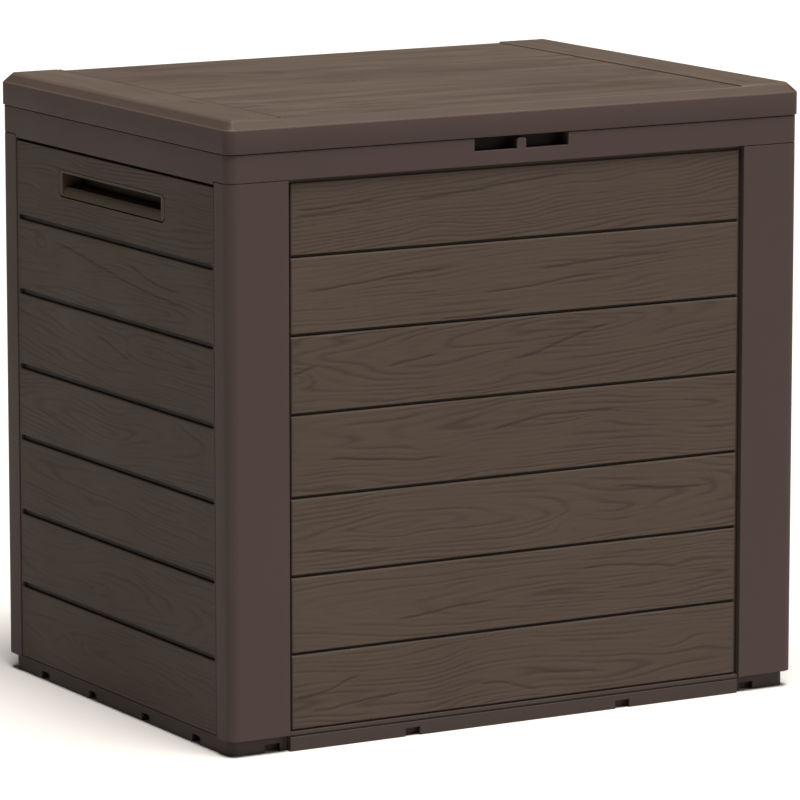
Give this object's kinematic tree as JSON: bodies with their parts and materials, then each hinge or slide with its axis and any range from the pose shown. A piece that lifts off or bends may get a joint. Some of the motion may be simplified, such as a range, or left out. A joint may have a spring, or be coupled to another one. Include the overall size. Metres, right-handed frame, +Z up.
{
  "type": "deck storage box",
  "caption": "Lidded outdoor storage chest with wood-look plank walls, smooth corner posts, side grips and a rear-hinged lid.",
  "frame": {"origin": "middle of the underside, on the ground", "axes": "+Z up, -Y is the front with the finger notch, +X to the right when facing the front"},
  "size_m": [0.56, 0.43, 0.53],
  "materials": {
    "smooth_plastic": "fine matt moulded surface, dark mauve-brown",
    "plank_plastic": "embossed wood grain, dark brown",
    "lid_plastic": "embossed wood grain on top, smooth rim, dark brown",
    "tray_plastic": "matt moulded surface, dark brown",
    "steel": "zinc-plated"
  },
  "bodies": {
    "box": {"base_tray": "tray_plastic", "front_left_post": "smooth_plastic", "front_right_post": "smooth_plastic", "rear_left_post": "smooth_plastic", "rear_right_post": "smooth_plastic", "front_panel": "plank_plastic", "back_panel": "plank_plastic", "left_panel": "plank_plastic", "right_panel": "plank_plastic", "left_grip": "smooth_plastic", "right_grip": "smooth_plastic", "top_frame": "smooth_plastic", "left_hinge_pin": "steel", "right_hinge_pin": "steel", "front_left_base_screw": "steel", "front_left_frame_screw": "steel", "front_right_base_screw": "steel", "front_right_frame_screw": "steel", "rear_left_base_screw": "steel", "rear_left_frame_screw": "steel", "rear_right_base_screw": "steel", "rear_right_frame_screw": "steel"},
    "lid": {"lid_shell": "lid_plastic"}
  },
  "joints": [
    {"name": "lid_hinge", "type": "hinge", "parent": "box", "child": "lid", "pos_m": [0, 0.2155, 0.5015], "axis": [-1, 0, 0], "range_deg": [0, 100]}
  ]
}
